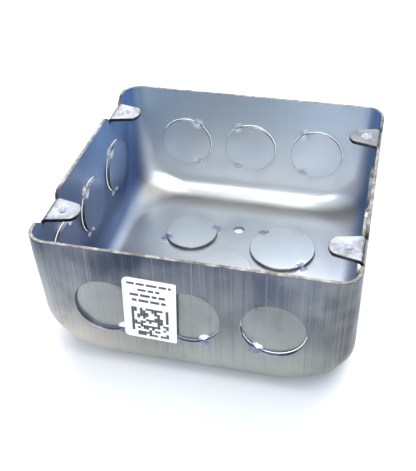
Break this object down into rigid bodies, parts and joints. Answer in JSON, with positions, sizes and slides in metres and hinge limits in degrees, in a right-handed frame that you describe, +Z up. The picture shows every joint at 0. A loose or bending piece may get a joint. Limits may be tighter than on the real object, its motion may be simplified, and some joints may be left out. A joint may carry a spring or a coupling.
{
  "type": "square electrical junction box",
  "caption": "Open square box of drawn zinc-plated steel with pushed-in round knockouts in the walls and floor, four folded screw ears and a blank label.",
  "frame": {"origin": "centre of the underside of the box", "axes": "+X to the right along the front wall, which carries the label, +Y towards the rear wall, +Z up to the open top"},
  "size_m": [0.1016, 0.1017, 0.048],
  "materials": {
    "zinc_steel": "blue-passivated zinc plate with drawing streaks",
    "zinc_steel_slug": "blue-passivated zinc plate, punched edge",
    "label_paper": "matt white paper label"
  },
  "bodies": {
    "box": {"box_shell": "zinc_steel", "label": "label_paper"},
    "knockout_front_1": {"knockout_front_1": "zinc_steel_slug"},
    "knockout_front_2": {"knockout_front_2": "zinc_steel_slug"},
    "knockout_front_3": {"knockout_front_3": "zinc_steel_slug"},
    "knockout_right_1": {"knockout_right_1": "zinc_steel_slug"},
    "knockout_right_2": {"knockout_right_2": "zinc_steel_slug"},
    "knockout_right_3": {"knockout_right_3": "zinc_steel_slug"},
    "knockout_rear_1": {"knockout_rear_1": "zinc_steel_slug"},
    "knockout_rear_2": {"knockout_rear_2": "zinc_steel_slug"},
    "knockout_rear_3": {"knockout_rear_3": "zinc_steel_slug"},
    "knockout_left_1": {"knockout_left_1": "zinc_steel_slug"},
    "knockout_left_2": {"knockout_left_2": "zinc_steel_slug"},
    "knockout_left_3": {"knockout_left_3": "zinc_steel_slug"},
    "floor_knockout_centre": {"floor_knockout_centre": "zinc_steel_slug"},
    "floor_knockout_rear_left": {"floor_knockout_rear_left": "zinc_steel_slug"},
    "floor_knockout_rear_right": {"floor_knockout_rear_right": "zinc_steel_slug"},
    "floor_knockout_front_left": {"floor_knockout_front_left": "zinc_steel_slug"},
    "floor_knockout_front_right": {"floor_knockout_front_right": "zinc_steel_slug"}
  },
  "joints": [
    {"name": "knockout_front_1_hinge", "type": "hinge", "parent": "box", "child": "knockout_front_1", "pos_m": [-0.0215, -0.0487, 0.0253], "axis": [0, 0, -1], "range_deg": [0, 6]},
    {"name": "knockout_front_2_hinge", "type": "hinge", "parent": "box", "child": "knockout_front_2", "pos_m": [0.005, -0.0487, 0.0253], "axis": [0, 0, -1], "range_deg": [0, 70]},
    {"name": "knockout_front_3_hinge", "type": "hinge", "parent": "box", "child": "knockout_front_3", "pos_m": [0.0215, -0.0487, 0.0253], "axis": [0, 0, 1], "range_deg": [0, 70]},
    {"name": "knockout_right_1_hinge", "type": "hinge", "parent": "box", "child": "knockout_right_1", "pos_m": [0.0487, -0.0215, 0.0253], "axis": [0, 0, -1], "range_deg": [0, 70]},
    {"name": "knockout_right_2_hinge", "type": "hinge", "parent": "box", "child": "knockout_right_2", "pos_m": [0.0487, 0.005, 0.0253], "axis": [0, 0, -1], "range_deg": [0, 70]},
    {"name": "knockout_right_3_hinge", "type": "hinge", "parent": "box", "child": "knockout_right_3", "pos_m": [0.0487, 0.0215, 0.0253], "axis": [0, 0, 1], "range_deg": [0, 70]},
    {"name": "knockout_rear_1_hinge", "type": "hinge", "parent": "box", "child": "knockout_rear_1", "pos_m": [0.0215, 0.0487, 0.0253], "axis": [0, 0, -1], "range_deg": [0, 70]},
    {"name": "knockout_rear_2_hinge", "type": "hinge", "parent": "box", "child": "knockout_rear_2", "pos_m": [-0.005, 0.0487, 0.0253], "axis": [0, 0, -1], "range_deg": [0, 70]},
    {"name": "knockout_rear_3_hinge", "type": "hinge", "parent": "box", "child": "knockout_rear_3", "pos_m": [-0.0215, 0.0487, 0.0253], "axis": [0, 0, 1], "range_deg": [0, 70]},
    {"name": "knockout_left_1_hinge", "type": "hinge", "parent": "box", "child": "knockout_left_1", "pos_m": [-0.0487, 0.0215, 0.0253], "axis": [0, 0, -1], "range_deg": [0, 70]},
    {"name": "knockout_left_2_hinge", "type": "hinge", "parent": "box", "child": "knockout_left_2", "pos_m": [-0.0487, -0.005, 0.0253], "axis": [0, 0, -1], "range_deg": [0, 70]},
    {"name": "knockout_left_3_hinge", "type": "hinge", "parent": "box", "child": "knockout_left_3", "pos_m": [-0.0487, -0.0215, 0.0253], "axis": [0, 0, 1], "range_deg": [0, 70]},
    {"name": "floor_knockout_centre_hinge", "type": "hinge", "parent": "box", "child": "floor_knockout_centre", "pos_m": [-0.0099, 0, 0.0021], "axis": [0, -1, 0], "range_deg": [0, 70]},
    {"name": "floor_knockout_rear_left_hinge", "type": "hinge", "parent": "box", "child": "floor_knockout_rear_left", "pos_m": [-0.02654, 0.01515, 0.0021], "axis": [0.4695, -0.8829, 0], "range_deg": [0, 70]},
    {"name": "floor_knockout_rear_right_hinge", "type": "hinge", "parent": "box", "child": "floor_knockout_rear_right", "pos_m": [0.02766, 0.00814, 0.0021], "axis": [0.7071, 0.7071, 0], "range_deg": [0, 70]},
    {"name": "floor_knockout_front_left_hinge", "type": "hinge", "parent": "box", "child": "floor_knockout_front_left", "pos_m": [-0.02766, -0.00814, 0.0021], "axis": [-0.7071, -0.7071, 0], "range_deg": [0, 70]},
    {"name": "floor_knockout_front_right_hinge", "type": "hinge", "parent": "box", "child": "floor_knockout_front_right", "pos_m": [0.02654, -0.01515, 0.0021], "axis": [-0.4695, 0.8829, 0], "range_deg": [0, 70]}
  ]
}
